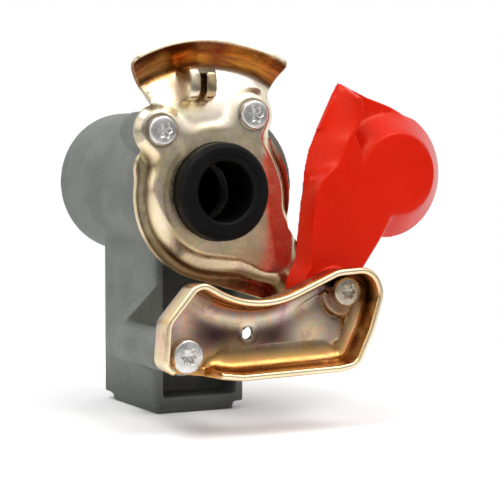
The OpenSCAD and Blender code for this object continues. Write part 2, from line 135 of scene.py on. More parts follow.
class Shader:
    """Small helper that builds one node material."""

    def __init__(self, name):
        self.mat = bpy.data.materials.new(name)
        self.mat.use_nodes = True
        self.tree = self.mat.node_tree
        self.bsdf = self.tree.nodes["Principled BSDF"]
        self.coord = self.tree.nodes.new("ShaderNodeTexCoord").outputs["Object"]

    def add(self, kind, **settings):
        node = self.tree.nodes.new(kind)
        for key, value in settings.items():
            setattr(node, key, value)
        return node

    def link(self, a, b):
        self.tree.links.new(a, b)

    def noise(self, scale, detail=3.0, rough=0.55, stretch=None, distortion=0.0):
        node = self.add("ShaderNodeTexNoise")
        node.inputs["Scale"].default_value = scale
        node.inputs["Detail"].default_value = detail
        node.inputs["Roughness"].default_value = rough
        node.inputs["Distortion"].default_value = distortion
        source = self.coord
        if stretch:
            mapping = self.add("ShaderNodeMapping")
            mapping.inputs["Scale"].default_value = stretch
            self.link(self.coord, mapping.inputs["Vector"])
            source = mapping.outputs["Vector"]
        self.link(source, node.inputs["Vector"])
        return node.outputs["Fac"]

    def ramp(self, fac, stops):
        node = self.add("ShaderNodeValToRGB")
        elements = node.color_ramp.elements
        while len(elements) < len(stops):
            elements.new(0.5)
        for element, (place, colour) in zip(elements, stops):
            element.position = place
            element.color = (*colour, 1)
        self.link(fac, node.inputs["Fac"])
        return node.outputs["Color"]

    def mask(self, fac, low, high):
        """Black below low and white above high."""
        return self.ramp(fac, [(low, (0, 0, 0)), (high, (1, 1, 1))])

    def attribute(self, name, output="Color"):
        return self.add("ShaderNodeAttribute", attribute_name=name).outputs[output]

    def product(self, a, b):
        node = self.add("ShaderNodeMath", operation="MULTIPLY")
        self.link(a, node.inputs[0])
        self.link(b, node.inputs[1])
        return node.outputs[0]

    def mix(self, fac, a, b, mode="MIX"):
        node = self.add("ShaderNodeMix", data_type="RGBA", blend_type=mode)
        for value, place in ((fac, 0), (a, 6), (b, 7)):
            self.give(node.inputs[place], value)
        return node.outputs[2]

    def span(self, value, low, high, at=(0.0, 1.0)):
        node = self.add("ShaderNodeMapRange")
        node.inputs["From Min"].default_value = at[0]
        node.inputs["From Max"].default_value = at[1]
        node.inputs["To Min"].default_value = low
        node.inputs["To Max"].default_value = high
        self.link(value, node.inputs["Value"])
        return node.outputs["Result"]

    def bump(self, *layers):
        last = None
        for height, strength, depth in layers:
            node = self.add("ShaderNodeBump")
            node.inputs["Strength"].default_value = strength
            node.inputs["Distance"].default_value = depth
            self.link(height, node.inputs["Height"])
            if last:
                self.link(last, node.inputs["Normal"])
            last = node.outputs["Normal"]
        self.link(last, self.bsdf.inputs["Normal"])

    def edges(self, low, high):
        sharp = self.add("ShaderNodeNewGeometry").outputs["Pointiness"]
        return self.span(sharp, 0, 1, (low, high))

    def give(self, socket, value):
        """Sets a socket to a number or a colour, or links another socket to it."""
        if isinstance(value, tuple):
            socket.default_value = (*value, 1)
        elif isinstance(value, (int, float)):
            socket.default_value = value
        else:
            self.link(value, socket)

    def set(self, **values):
        for key, value in values.items():
            self.give(self.bsdf.inputs[key.replace("_", " ")], value)
        return self.mat


def cast_material(name, low, high):
    s = Shader(name)
    cloud = s.ramp(s.noise(55, 5, 0.6), [(0.3, low), (0.7, high)])
    streak = s.span(s.noise(6, 6, 0.65, (70, 70, 6)), 0.86, 1.1, (0.3, 0.7))
    colour = s.mix(1.0, cloud, s.mask(streak, 0.0, 1.0), "MULTIPLY")
    speck = s.mask(s.noise(900, 2, 0.7), 0.58, 0.7)
    colour = s.mix(s.span(speck, 0, 0.22), colour, (0.42, 0.43, 0.41))
    colour = s.mix(s.span(s.edges(0.51, 0.6), 0, 0.35), colour, (0.44, 0.45, 0.43))
    # painted shade from the mesh: deep in the column's pocket and towards the foot
    colour = s.mix(s.attribute("painted_shade", "Fac"), colour, (0.012, 0.013, 0.011))
    s.bump((s.noise(1500, 3), 0.22, 0.0003), (s.noise(130, 3), 0.12, 0.001))
    return s.set(Base_Color=colour, Metallic=0.25, Roughness=s.span(s.noise(90, 4), 0.5, 0.68))


def lip_strokes(s):
    """Noise drawn out along the lip, in turns and distance about the middle of its arc."""
    shift = s.add("ShaderNodeVectorMath", operation="SUBTRACT")
    middle = ((FACE_X + LIP_AT[0]) * 0.001, 0, (FACE_Z + LIP_AT[1]) * 0.001)
    shift.inputs[1].default_value = middle
    s.link(s.coord, shift.inputs[0])
    flat = s.add("ShaderNodeVectorMath", operation="MULTIPLY")
    flat.inputs[1].default_value = (1, 0, 1)
    s.link(shift.outputs[0], flat.inputs[0])
    reach = s.add("ShaderNodeVectorMath", operation="LENGTH")
    s.link(flat.outputs[0], reach.inputs[0])
    part = s.add("ShaderNodeSeparateXYZ")
    s.link(flat.outputs[0], part.inputs[0])
    turn = s.add("ShaderNodeMath", operation="ARCTAN2")
    s.link(part.outputs["Z"], turn.inputs[0])
    s.link(part.outputs["X"], turn.inputs[1])
    spread = s.add("ShaderNodeCombineXYZ")
    s.link(s.span(reach.outputs["Value"], 0, 34, (0, 0.06)), spread.inputs["X"])
    s.link(s.span(turn.outputs[0], 0, 13, (0, math.pi)), spread.inputs["Y"])
    stroke = s.add("ShaderNodeTexNoise")
    stroke.inputs["Scale"].default_value = 1.0
    stroke.inputs["Detail"].default_value = 4.0
    stroke.inputs["Distortion"].default_value = 0.5
    s.link(spread.outputs["Vector"], stroke.inputs["Vector"])
    return stroke.outputs["Fac"]


def plated_material(name):
    """Yellow chromate, with its film colour, painted shade and painted highlights, and marks
    taken from the mesh.
    """
    s = Shader(name)
    marks = s.add("ShaderNodeSeparateColor")
    s.link(s.attribute("marks"), marks.inputs["Color"])
    film = s.ramp(s.noise(42, 4, 0.6, distortion=0.8), [
        (0.28, (0.84, 0.77, 0.72)), (0.40, (0.98, 0.93, 0.79)), (0.50, (0.97, 0.88, 0.86)),
        (0.60, (0.93, 0.90, 0.74)), (0.72, (0.84, 0.77, 0.80))])
    colour = s.mix(1.0, s.attribute("film_and_light"), film, "MULTIPLY")
    rainbow = s.ramp(s.noise(95, 5, 0.68, distortion=0.3), [
        (0.24, (0.44, 0.31, 0.46)), (0.41, (1.0, 0.76, 0.48)), (0.50, (0.80, 0.82, 0.68)),
        (0.59, (1.0, 0.74, 0.74)), (0.76, (0.44, 0.30, 0.26))])
    colour = s.mix(marks.outputs["Green"], colour, s.mix(1.0, colour, rainbow, "MULTIPLY"))
    stain = s.mask(s.noise(300, 5, 0.75, (1, 1, 0.5)), 0.50, 0.72)
    colour = s.mix(s.span(stain, 0, 0.14), colour, (0.24, 0.15, 0.07))
    strokes = s.product(s.mask(lip_strokes(s), 0.42, 0.62), marks.outputs["Red"])
    colour = s.mix(strokes, colour, (0.20, 0.065, 0.02))
    colour = s.mix(s.span(s.edges(0.52, 0.62), 0, 0.4), colour, (0.90, 0.80, 0.58))
    gloss = s.span(s.noise(180, 5, 0.65), 0.18, 0.34, (0.3, 0.7))
    s.bump((s.noise(170, 3), 0.05, 0.0012), (s.noise(1300, 2), 0.02, 0.0003))
    return s.set(Base_Color=colour, Metallic=1.0, Roughness=gloss)


def metal_material(name, low, high, rough=(0.22, 0.38), scale=220):
    s = Shader(name)
    colour = s.ramp(s.noise(scale, 4, 0.65), [(0.35, low), (0.65, high)])
    colour = s.mix(s.span(s.edges(0.52, 0.62), 0, 0.5), colour, (0.9, 0.89, 0.86))
    s.bump((s.noise(1600, 3), 0.08, 0.0002), (s.noise(400, 2), 0.05, 0.0004))
    gloss = s.span(s.noise(500, 4), *rough, (0.3, 0.7))
    return s.set(Base_Color=colour, Metallic=1.0, Roughness=gloss)


def rubber_material(name):
    s = Shader(name)
    dark, light = (0.002, 0.002, 0.002), (0.005, 0.005, 0.005)
    colour = s.ramp(s.noise(120, 5, 0.65), [(0.35, dark), (0.7, light)])
    dust = s.mask(s.noise(900, 3, 0.7), 0.6, 0.75)
    colour = s.mix(s.span(dust, 0, 0.12), colour, (0.05, 0.05, 0.05))
    s.bump((s.noise(1800, 3), 0.15, 0.0002), (s.noise(240, 2), 0.06, 0.0006))
    gloss = s.span(s.noise(150, 4), 0.42, 0.6)
    return s.set(Base_Color=colour, Roughness=gloss, Specular_IOR_Level=0.12)


def red_material(name):
    s = Shader(name)
    dark, light = (0.57, 0.0095, 0.0012), (0.63, 0.0115, 0.0018)
    colour = s.ramp(s.noise(35, 3, 0.5), [(0.3, dark), (0.7, light)])
    colour = s.mix(s.span(s.edges(0.53, 0.65), 0, 0.25), colour, (0.85, 0.08, 0.03))
    speck = s.mask(s.noise(700, 2, 0.7), 0.66, 0.76)
    colour = s.mix(s.span(speck, 0, 0.1), colour, (0.45, 0.008, 0.005))
    s.bump((s.noise(260, 3), 0.03, 0.0008), (s.noise(2200, 2), 0.04, 0.0002))
    gloss = s.span(s.noise(60, 4), 0.22, 0.34)
    return s.set(Base_Color=colour, Roughness=gloss, Specular_IOR_Level=0.42,
                 Specular_Tint=(1.0, 0.36, 0.22))


def mesh_material(name):
    s = Shader(name)
    wave_a = s.add("ShaderNodeTexWave", bands_direction="Z")
    wave_b = s.add("ShaderNodeTexWave", bands_direction="Y")
    for wave in (wave_a, wave_b):
        wave.inputs["Scale"].default_value = 420
        s.link(s.coord, wave.inputs["Vector"])
    weave = s.mix(1.0, wave_a.outputs["Color"], wave_b.outputs["Color"], "MULTIPLY")
    colour = s.ramp(weave, [(0.05, (0.09, 0.085, 0.08)), (0.6, (0.55, 0.54, 0.5))])
    s.bump((weave, 0.5, 0.0004))
    return s.set(Base_Color=colour, Metallic=1.0, Roughness=s.span(s.noise(300, 3), 0.3, 0.5))


def frame_plastic_material(name):
    s = Shader(name)
    dark, light = (0.035, 0.036, 0.04), (0.06, 0.062, 0.066)
    colour = s.ramp(s.noise(90, 4, 0.6), [(0.3, dark), (0.7, light)])
    s.bump((s.noise(1400, 3), 0.12, 0.0002))
    return s.set(Base_Color=colour, Roughness=s.span(s.noise(120, 4), 0.4, 0.58))


CAST = cast_material("die_cast_grey", (0.120, 0.131, 0.115), (0.182, 0.195, 0.171))
CAP = cast_material("turned_cap_grey", (0.20, 0.205, 0.20), (0.30, 0.305, 0.295))
PLATED = plated_material("yellow_chromate")
ZINC = metal_material("bright_zinc", (0.60, 0.59, 0.56), (0.80, 0.79, 0.76))
WORN_ZINC = metal_material("worn_zinc", (0.40, 0.34, 0.26), (0.62, 0.55, 0.44))
SPRING = metal_material("spring_steel", (0.30, 0.30, 0.31), (0.46, 0.46, 0.47),
                        (0.25, 0.42), 400)
RUBBER = rubber_material("black_rubber")
RED = red_material("red_plastic")
SCREEN = mesh_material("woven_wire")
FILTER = frame_plastic_material("filter_plastic")


# Rounded copies of the casting and the moulding

def rounded_copy(node, name, material, body, voxel, passes, thinned=1.0):
    """A node's shape with soft edges: remeshed, relaxed and perhaps thinned out."""
    obj = bpy.data.objects.new(name, nodes[node].data.copy())
    bpy.context.scene.collection.objects.link(obj)
    remesh = obj.modifiers.new("remesh", "REMESH")
    remesh.mode = "VOXEL"
    remesh.voxel_size = voxel * 0.001
    remesh.use_smooth_shade = True
    relax = obj.modifiers.new("relax", "SMOOTH")
    relax.factor = 0.5
    relax.iterations = passes
    if thinned < 1:
        obj.modifiers.new("thin", "DECIMATE").ratio = thinned
    result = obj.evaluated_get(bpy.context.evaluated_depsgraph_get())
    shaped = bpy.data.meshes.new_from_object(result)
    obj.modifiers.clear()
    obj.data = shaped
    shaped.polygons.foreach_set("use_smooth", [True] * len(shaped.polygons))
    finish_piece(obj, material, body, (node,))
    return obj


def coordinates(mesh):
    co = np.empty(len(mesh.vertices) * 3)
    mesh.vertices.foreach_get("co", co)
    return co.reshape(-1, 3)


def on_face(mesh):
    """Points of a mesh as u, v and w on the coupling face."""
    x, y, z = coordinates(mesh).T * 1000
    return np.column_stack([x - FACE_X, z - FACE_Z, FACE_Y - y])


def smooth_cover(mesh, passes):
    """Evens out the broad faces, leaves the edges where they are and softens the disc's edge."""
    co = coordinates(mesh)
    n = len(co)
    ends = np.empty(len(mesh.edges) * 2, int)
    mesh.edges.foreach_get("vertices", ends)
    a, b = ends.reshape(-1, 2).T
    normal = np.empty(n * 3)
    mesh.vertices.foreach_get("normal", normal)
    normal = normal.reshape(-1, 3)
    bent = np.degrees(np.arccos(np.clip(np.sum(normal[a] * normal[b], axis=1), -1, 1)))
    most = np.zeros(n)
    np.maximum.at(most, a, bent)
    np.maximum.at(most, b, bent)
    broad = 0.5 * (1 - smooth_step((most - 9) / 7))
    u, v, w = on_face(mesh).T
    shut = math.degrees(math.atan2(-PIVOT[1], -PIVOT[0]))
    dome = PIVOT + polar(np.linalg.norm(PIVOT), shut - COVER_OPEN)
    from_edge = np.abs(np.hypot(u - dome[0], v - dome[1]) - DISC_R)
    at_top = (w > COVER_TOP - 4) & (w < COVER_TOP + 0.4)
    on_edge = 0.06 * (1 - smooth_step((from_edge - 2) / 2)) * at_top
    web = dome + polar(DOME_R, 74)
    near_web = 0.4 * np.exp(-(np.hypot(u - web[0], v - web[1]) / 4) ** 2)
    free = np.maximum(np.maximum(broad, on_edge), near_web)[:, None]
    count = np.bincount(a, minlength=n) + np.bincount(b, minlength=n)
    for _ in range(passes):
        mean = np.column_stack([np.bincount(a, co[b, i], n) + np.bincount(b, co[a, i], n)
                                for i in range(3)])
        co = co + free * (mean / count[:, None] - co)
    mesh.vertices.foreach_set("co", co.ravel())
    mesh.update()


def paint_housing_shade(mesh):
    """Painted shade deep in the pocket in the column's front, and painted shade darker towards
    the foot.
    """
    x, y, z = coordinates(mesh).T * 1000
    in_pocket = (y < -10) & (np.abs(x) < 16.5) & (z > 6) & (z < 66)
    shade = 0.58 * smooth_step((y + 26.2) / 3) * in_pocket
    foot_shade = 0.55 * smooth_step((22 - z) / 22)
    layer = mesh.attributes.new("painted_shade", "FLOAT", "POINT")
    layer.data.foreach_set("value", np.maximum(shade, foot_shade))


housing = rounded_copy("housing", "housing_casting", CAST, "head",
                       voxel=0.65, passes=6, thinned=0.5)
paint_housing_shade(housing.data)
cover = rounded_copy("cover", "cover_moulding", RED, "cover_body",
                     voxel=0.5, passes=5)
smooth_cover(cover.data, 90)


# Pressed sheets

EDGE_ROWS = (0.6, 1.2, 1.9, 2.6)
EDGE_SWELL = 0.35


def inside(points, loop):
    """Which points lie inside a closed loop."""
    x, y = points[:, 0], points[:, 1]
    hit = np.zeros(len(points), bool)
    for (x0, y0), (x1, y1) in zip(loop, np.roll(loop, -1, 0)):
        if y0 == y1:
            continue
        hit ^= ((y0 > y) != (y1 > y)) & (x < (x1 - x0) * (y - y0) / (y1 - y0) + x0)
    return hit


def fill_sheet(loops, inner_points):
    """Forward-facing triangles between closed loops of points, with free points inside."""
    points, edges = [], []
    for loop in loops:
        first, n = len(points), len(loop)
        points += [Vector((float(p[0]), float(p[1]))) for p in loop]
        edges += [(first + i, first + (i + 1) % n) for i in range(n)]
    points += [Vector((float(p[0]), float(p[1]))) for p in inner_points]
    made = delaunay_2d_cdt(points, edges, [], 1, 1e-5)
    flat = np.array([tuple(p) for p in made[0]])
    faces = np.array([tuple(f) for f in made[2]])
    middle = flat[faces].mean(axis=1)
    for hole in loops[1:]:
        kept = ~inside(middle, np.asarray(hole))
        faces, middle = faces[kept], middle[kept]
    (ax, ay), (bx, by), (cx, cy) = flat[faces[0]]
    if (bx - ax) * (cy - ay) - (cx - ax) * (by - ay) < 0:
        faces = faces[:, ::-1]
    return flat, [tuple(int(i) for i in f) for f in faces]


def boundary_loops(faces):
    """Closed loops of the edges that only one face uses, in the faces' own direction."""
    used = {}
    for face in faces:
        used.update({edge: True for edge in zip(face, face[1:] + face[:1])})
    follow = {a: b for a, b in used if (b, a) not in used}
    loops = []
    while follow:
        start, b = follow.popitem()
        loop = [start]
        while b != start:
            loop.append(b)
            b = follow.pop(b)
        loops.append(loop)
    return loops


def pressed_sheet(loops, inner_points, height, thickness):
    """Front and back skin of a pressed sheet, with rounded cut edges."""
    flat, faces = fill_sheet(loops, inner_points)
    step = 0.05
    du = (height(flat + [step, 0]) - height(flat - [step, 0])) / (2 * step)
    dv = (height(flat + [0, step]) - height(flat - [0, step])) / (2 * step)
    normal = np.stack([-du, -dv, np.ones_like(du)], 1)
    normal /= np.linalg.norm(normal, axis=1)[:, None]
    front = np.column_stack([flat, height(flat)])
    through = normal * thickness(flat)[:, None]
    count = len(front)
    verts = [front, front - through]
    out = faces + [tuple(i + count for i in f[::-1]) for f in faces]
    total = 2 * count
    for loop in boundary_loops(faces):
        n = len(loop)
        p = flat[loop]
        run = np.roll(p, -1, 0) - np.roll(p, 1, 0)
        away = np.column_stack([run[:, 1], -run[:, 0], np.zeros(n)])
        away /= np.maximum(np.linalg.norm(away, axis=1)[:, None], 1e-9)
        rings = [np.array(loop)]
        for part in (0.12, 0.35, 0.65, 0.88):
            swell = EDGE_SWELL * math.sin(math.pi * part) ** 0.5
            verts.append(front[loop] - through[loop] * part + away * swell)
            rings.append(np.arange(total, total + n))
            total += n
        rings.append(np.array(loop) + count)
        for near, far in zip(rings, rings[1:]):
            out += [(near[(i + 1) % n], near[i], far[i], far[(i + 1) % n]) for i in range(n)]
    return np.concatenate(verts), out


def paint(obj, colour_of):
    """Film colour of the plating for each point, with painted shade and painted highlights, kept
    with the mesh.
    """
    p = on_face(obj.data)
    rgb, strokes, rainbow = colour_of(p)
    one = np.ones(len(p))
    marks = [strokes * one, rainbow * one, 0 * one, one]
    for name, values in (("film_and_light", [rgb, one]), ("marks", marks)):
        layer = obj.data.color_attributes.new(name, "FLOAT_COLOR", "POINT")
        layer.data.foreach_set("color", np.column_stack(values).ravel())


def blend(base, amount, colour):
    a = np.clip(amount, 0, 1)[:, None]
    return base * (1 - a) + np.array(colour) * a


def line(distance, at, width):
    """A soft line where a distance has one value."""
    return np.exp(-((distance - at) / width) ** 2)


def patch_on(p):
    """Soft oval patches on a sheet, by their middle and size."""
    def patch(u, v, size_u, size_v):
        return np.exp(-((p[:, 0] - u) / size_u) ** 2 - ((p[:, 1] - v) / size_v) ** 2)
    return patch


# Claw plate: the outline about the plate's middle, then the lip about its own

def ray_to_circle(direction, centre, radius):
    """Distance along each ray from the plate's middle to the far side of a circle."""
    along = direction @ centre
    room = radius ** 2 - centre @ centre + along ** 2
    return np.where(room > 0, along + np.sqrt(np.maximum(room, 0)), 0)


EAR_TURN = math.atan2(PIVOT[1], PIVOT[0])
EAR_LOW = EAR_TURN - math.acos((FLANGE_R - EAR_R) / np.linalg.norm(PIVOT))
EAR_FOOT = PIVOT + EAR_R * np.array([math.cos(EAR_LOW), math.sin(EAR_LOW)])
EAR_SPAN = math.atan2(EAR_FOOT[1], EAR_FOOT[0]) - EAR_LOW


def base_reach(angle):
    """Reach of the plate's outline below the lip: flange, pads, waist and ear."""
    d = np.column_stack([np.cos(angle), np.sin(angle)])
    reach = np.full(len(angle), FLANGE_R)
    for centre, radius in ((SCREW_L, CORNER_R), (SCREW_R, CORNER_R),
                           (polar(FLANGE_R - 9, 156), 11.0)):
        reach = np.maximum(reach, ray_to_circle(d, centre, radius))
    for t in np.linspace(0, 1, 60):
        centre = PIVOT * (1 - t) + np.array([20.0, -20.0]) * t
        reach = np.maximum(reach, ray_to_circle(d, centre, EAR_R * (1 - t) + 13 * t))
    from_low = np.mod(angle - EAR_LOW, 2 * math.pi)
    straight = FLANGE_R / np.maximum(np.cos(np.minimum(from_low, 1.5)), 0.05)
    return np.where(from_low < EAR_SPAN, np.maximum(reach, straight), reach)


LIP_A, LIP_B = math.radians(90 - LIP_RIGHT), math.radians(90 + LIP_LEFT)
CURL = LIP_R - GROOVE_R - 1.0
LIP_EDGE = GROOVE_R + CURL * 0.94
GROOVE_W = -7.4
BASE_A, BASE_B = math.radians(60.1), math.radians(126.2)


def about_lip(p):
    """Distance and direction from the middle of the lip's arc."""
    q = p[:, :2] - LIP_AT
    return np.linalg.norm(q, axis=1), np.arctan2(q[:, 1], q[:, 0])


def soften(loop, passes):
    for _ in range(passes):
        loop = 0.25 * np.roll(loop, 1, 0) + 0.5 * loop + 0.25 * np.roll(loop, -1, 0)
    return loop


def even(loop, spacing):
    """The same closed loop with evenly spaced points."""
    closed = np.vstack([loop, loop[:1]])
    run = np.concatenate([[0], np.cumsum(np.linalg.norm(np.diff(closed, axis=0), axis=1))])
    n = int(run[-1] / spacing)
    s = np.linspace(0, run[-1], n, endpoint=False)
    return np.column_stack([np.interp(s, run, closed[:, 0]), np.interp(s, run, closed[:, 1])])


def claw_loop():
    angle = np.linspace(BASE_B, BASE_A + 2 * math.pi, 700)
    base = base_reach(angle)[:, None] * np.column_stack([np.cos(angle), np.sin(angle)])
    top = np.linspace(LIP_A, LIP_B, 200)
    lip = LIP_AT + LIP_EDGE * np.column_stack([np.cos(top), np.sin(top)])
    loop = soften(even(np.vstack([base, lip]), spacing=0.5), passes=6)
    return soften(even(loop, spacing=0.7), passes=3)


def distance_to(points, loop):
    return np.concatenate([
        np.min(np.linalg.norm(part[:, None, :] - loop[None, :, :], axis=2), axis=1)
        for part in np.array_split(points, max(len(points) // 2000, 1))])


def square_grid(low, high, spacing):
    u, v = np.meshgrid(np.arange(low[0], high[0], spacing), np.arange(low[1], high[1], spacing))
    return np.column_stack([u.ravel(), v.ravel()])


def sheet_points(loop, spacing):
    """Points inside a loop: rows that follow its edge, then a square grid."""
    run = np.roll(loop, -1, 0) - np.roll(loop, 1, 0)
    inward = np.column_stack([-run[:, 1], run[:, 0]]) / np.linalg.norm(run, axis=1)[:, None]
    out = []
    for d in EDGE_ROWS:
        row = loop + inward * d
        out.append(row[distance_to(row, loop) > d * 0.96])
    grid = square_grid(loop.min(axis=0), loop.max(axis=0), spacing)
    grid = grid[inside(grid, loop)]
    out.append(grid[distance_to(grid, loop) > EDGE_ROWS[-1] + 0.6])
    return np.vstack(out)


# Middle, radius and softness of the circles that widen the raised face
FACE_CIRCLES = (
    (SCREW_L, PAD_R, 9.0), (SCREW_R, PAD_R, 9.0), (np.array([4.0, -1.0]), 25.4, 3.0),
    (np.array([10.0, -10.5]), 15.0, 6.0), (np.array([22.0, -18.5]), 12.5, 5.0),
    (PIVOT, 10.0, 9.0))


def beyond_face(p):
    """Distance outside the raised face round the seal, the screw pads and the way to the ear."""
    out = np.linalg.norm(p, axis=1) - PLATEAU_R
    for centre, radius, k in FACE_CIRCLES:
        out = soft_min(out, np.linalg.norm(p - centre, axis=1) - radius, k)
    return out


def claw_height(p):
    u, v = p.T
    r, angle = about_lip(p)
    out = beyond_face(p)
    # the bend round the raised face is widest at the lower left
    inner = 1.2 + 4.0 * smooth_step((4 - v) / 18) * (1 - smooth_step((u + 2) / 24))
    raised = -FLANGE_DROP * smooth_step((out + inner) / (STEP_RUN + 0.2 + inner))
    # the right side leans back, down to the ear
    lean = np.maximum(0, u - 19 + 0.25 * v) * (1 - smooth_step((v - 12) / 12))
    raised = soft_max(raised - 0.26 * lean ** 2 / (lean + 3.0), -FLANGE_DROP, 0.8)
    # the upper sheet falls behind the pads, runs back to the groove and curls up into the lip
    fall = -14 * smooth_step((out + 1.8) / 12.5)
    start = PLATEAU_R + 3.0
    groove = GROOVE_W + 3.4 * smooth_step((1.45 - angle) / 0.3)
    along = np.clip(r - start, 0, None) / (GROOVE_R - start)
    slope = -0.2 + (groove + 0.2) * along ** 1.6
    over = np.clip(r - GROOVE_R, 0, CURL * 0.97)
    curl = CURL - np.sqrt(np.maximum(CURL ** 2 - over ** 2, 0))
    sheet = np.where(r > GROOVE_R, groove + curl, slope)
    upper = smooth_step((LIP_B + 0.10 - angle) / 0.2) * smooth_step((angle - LIP_A + 0.10) / 0.2)
    upper = np.where(r > 49.5, (angle > LIP_A - 0.3) & (angle < LIP_B + 0.3), upper)
    return soft_max(fall, sheet, 2.5) * upper + raised * (1 - upper)


def claw_thickness(p):
    return SHEET - 1.2 * smooth_step((about_lip(p)[0] - LIP_EDGE + 5) / 5)


def claw_film_and_light(p):
    """Colour, strokes and rainbow of the claw plate's chromate, with painted shade and painted
    highlights.
    """
    u, v, w = p.T
    r, angle = about_lip(p)
    out = beyond_face(p[:, :2])
    patch = patch_on(p)
    rgb = np.tile([1.0, 0.91, 0.68], (len(p), 1))
    low = 1 - smooth_step((v - 14) / 8)
    # painted highlight: the upper sheet below the lip paler
    white = smooth_step((r - 29) / 6) * smooth_step((v - 16) / 10)
    rgb = blend(rgb, white, (0.94, 0.89, 0.78))
    flange = low * smooth_step((out - 1.5) / 3)
    rgb = blend(rgb, flange, (0.86, 0.66, 0.38))
    rgb = blend(rgb, 0.8 * flange * smooth_step((-22 - u) / 6), (0.80, 0.75, 0.58))
    rgb = blend(rgb, 0.5 * patch(-6, -23, 9, 3), (0.62, 0.52, 0.58))
    # painted highlight: a pale yellow patch below and right of the seal
    rgb = blend(rgb, 0.6 * patch(12, -21, 5, 4), (1.0, 0.88, 0.50))
    rgb = blend(rgb, 0.45 * patch(-21, -8, 4, 9), (0.66, 0.54, 0.50))
    # painted shade in the crease at the foot of the bend round the raised face and a painted
    # highlight on its shoulder; at the bottom painted shade in the valley with a painted
    # highlight line, and painted shade lines along the fold
    rgb = blend(rgb, 0.95 * low * line(out, 1.8, 1.0), (0.09, 0.06, 0.028))
    rgb = blend(rgb, 0.7 * low * line(out, -2.4, 1.5), (1.0, 0.95, 0.84))
    under = smooth_step((-12 - v) / 8)
    valley = smooth_step((out + 0.4) / 1.6) * (1 - smooth_step((out - 6.8) / 1.2))
    rgb = blend(rgb, 0.8 * valley * under, (0.26, 0.17, 0.09))
    rgb = blend(rgb, 0.6 * under * line(out, 3.9, 0.4), (0.80, 0.66, 0.44))
    side = smooth_step((-8 - u) / 8)
    rgb = blend(rgb, 0.65 * low * side * line(out, -4.6, 0.6), (0.34, 0.27, 0.18))
    rgb = blend(rgb, 0.75 * low * line(out, 4.8, 0.5), (0.16, 0.10, 0.045))
    # painted shadow beside the tab, a yellow patch under it, and painted shade in a ring round
    # each screw head
    rgb = blend(rgb, 0.8 * patch(-17.5, 43, 3, 7), (0.30, 0.18, 0.07))
    rgb = blend(rgb, 0.7 * patch(-11, 34.5, 5, 2.2), (0.80, 0.62, 0.20))
    for screw in (SCREW_L, SCREW_R):
        away = np.linalg.norm(p[:, :2] - screw, axis=1)
        rgb = blend(rgb, 0.8 * line(away, CLAW_HEAD_R + 0.35, 0.5), (0.16, 0.13, 0.10))
    # the brown lip, with its slanted left end
    left = smooth_step((angle - 1.62) / 0.3)
    lip = smooth_step((r - GROOVE_R + 0.5 + 2.2 * left) / 2.5)
    rgb = blend(rgb, lip, (0.50, 0.20, 0.03))
    rgb = blend(rgb, 0.75 * lip * left, (0.34, 0.20, 0.07))
    rgb = blend(rgb, 0.9 * lip * patch(2.2, 56, 4.6, 9), (0.18, 0.02, 0.01))
    rgb = blend(rgb, 0.7 * lip * patch(27, 48, 5, 6), (0.36, 0.08, 0.04))
    end = smooth_step((angle - LIP_B + 0.05) / 0.03) * (r > 38) * (r < GROOVE_R + 1)
    rgb = blend(rgb, 0.7 * end, (0.42, 0.39, 0.30))
    # painted shade on the tab: brown from the left cheek's inner side over the slot, beige on
    # the right cheek
    tab = (w > -6.0) & (v > 35.9) & (v < 50) & (u > -15.3) & (u < -1.9)
    rgb = blend(rgb, 0.9 * tab * smooth_step((u + 11.5) / 2), (0.42, 0.30, 0.16))
    rgb = blend(rgb, 0.7 * tab * smooth_step((u + 4.4) / 1.5), (0.72, 0.60, 0.42))
    # painted highlight along the lip's cut edge
    rim = smooth_step((r - LIP_EDGE + 0.6) / 0.5)
    return blend(rgb, rim, (0.95, 0.86, 0.68)), lip * (1 - rim) * 0.9, 0.4 * low


def claw_plate():
    hole = circle(SEAL_AT, SEAL_R + 0.3, 160)
    loop = claw_loop()
    points = sheet_points(loop, 0.75)
    points = points[np.linalg.norm(points - SEAL_AT, axis=1) > SEAL_R + 1.0]
    verts, faces = pressed_sheet([loop, hole], points, claw_height, claw_thickness)
    tab_verts, tab_faces = tab_block()
    faces += [tuple(i + len(verts) for i in f) for f in tab_faces]
    verts = np.vstack([verts, tab_verts])
    obj = add_mesh("claw_pressing", world(verts), faces, PLATED, "head",
                   replaces=("claw_plate",), sharp=50)
    paint(obj, claw_film_and_light)


def tab_block():
    """Lanced tab above the seal: two formed cheeks, a slot between and a bridge over them."""
    levels = [(0.0, 1.0), (0.55, 1.0), (0.8, 0.94), (0.93, 0.8), (1.0, 0.55)]
    n = 24
    verts, faces = [], []

    def formed(u0, u1, v0, v1, w0, w1, lean):
        first = len(verts)
        for part, size in levels:
            half_u, half_v = (u1 - u0) / 2 * (0.75 + 0.25 * size), (v1 - v0) / 2 * size
            for i in range(n):
                a = 2 * math.pi * i / n
                x = math.copysign(abs(math.cos(a)) ** 0.45, math.cos(a))
                y = math.copysign(abs(math.sin(a)) ** 0.45, math.sin(a))
                verts.append(((u0 + u1) / 2 + x * half_u + lean * part,
                              (v0 + v1) / 2 + y * half_v, w0 + (w1 - w0) * part))
        faces.extend(tube_faces(first, len(levels), n))
        faces.append(tuple(range(len(verts) - n, len(verts))))

    formed(-15.0, -10.2, 36.0, 49.6, -8.5, 5.0, 0.5)
    formed(-7.0, -2.2, 36.2, 49.2, -8.5, 4.4, -0.4)
    formed(-14.6, -2.6, 45.8, 49.8, -9.0, 4.0, 0.0)
    return np.array(verts), faces


claw_plate()


# Guide tray: the same outline as the source, with finer bends

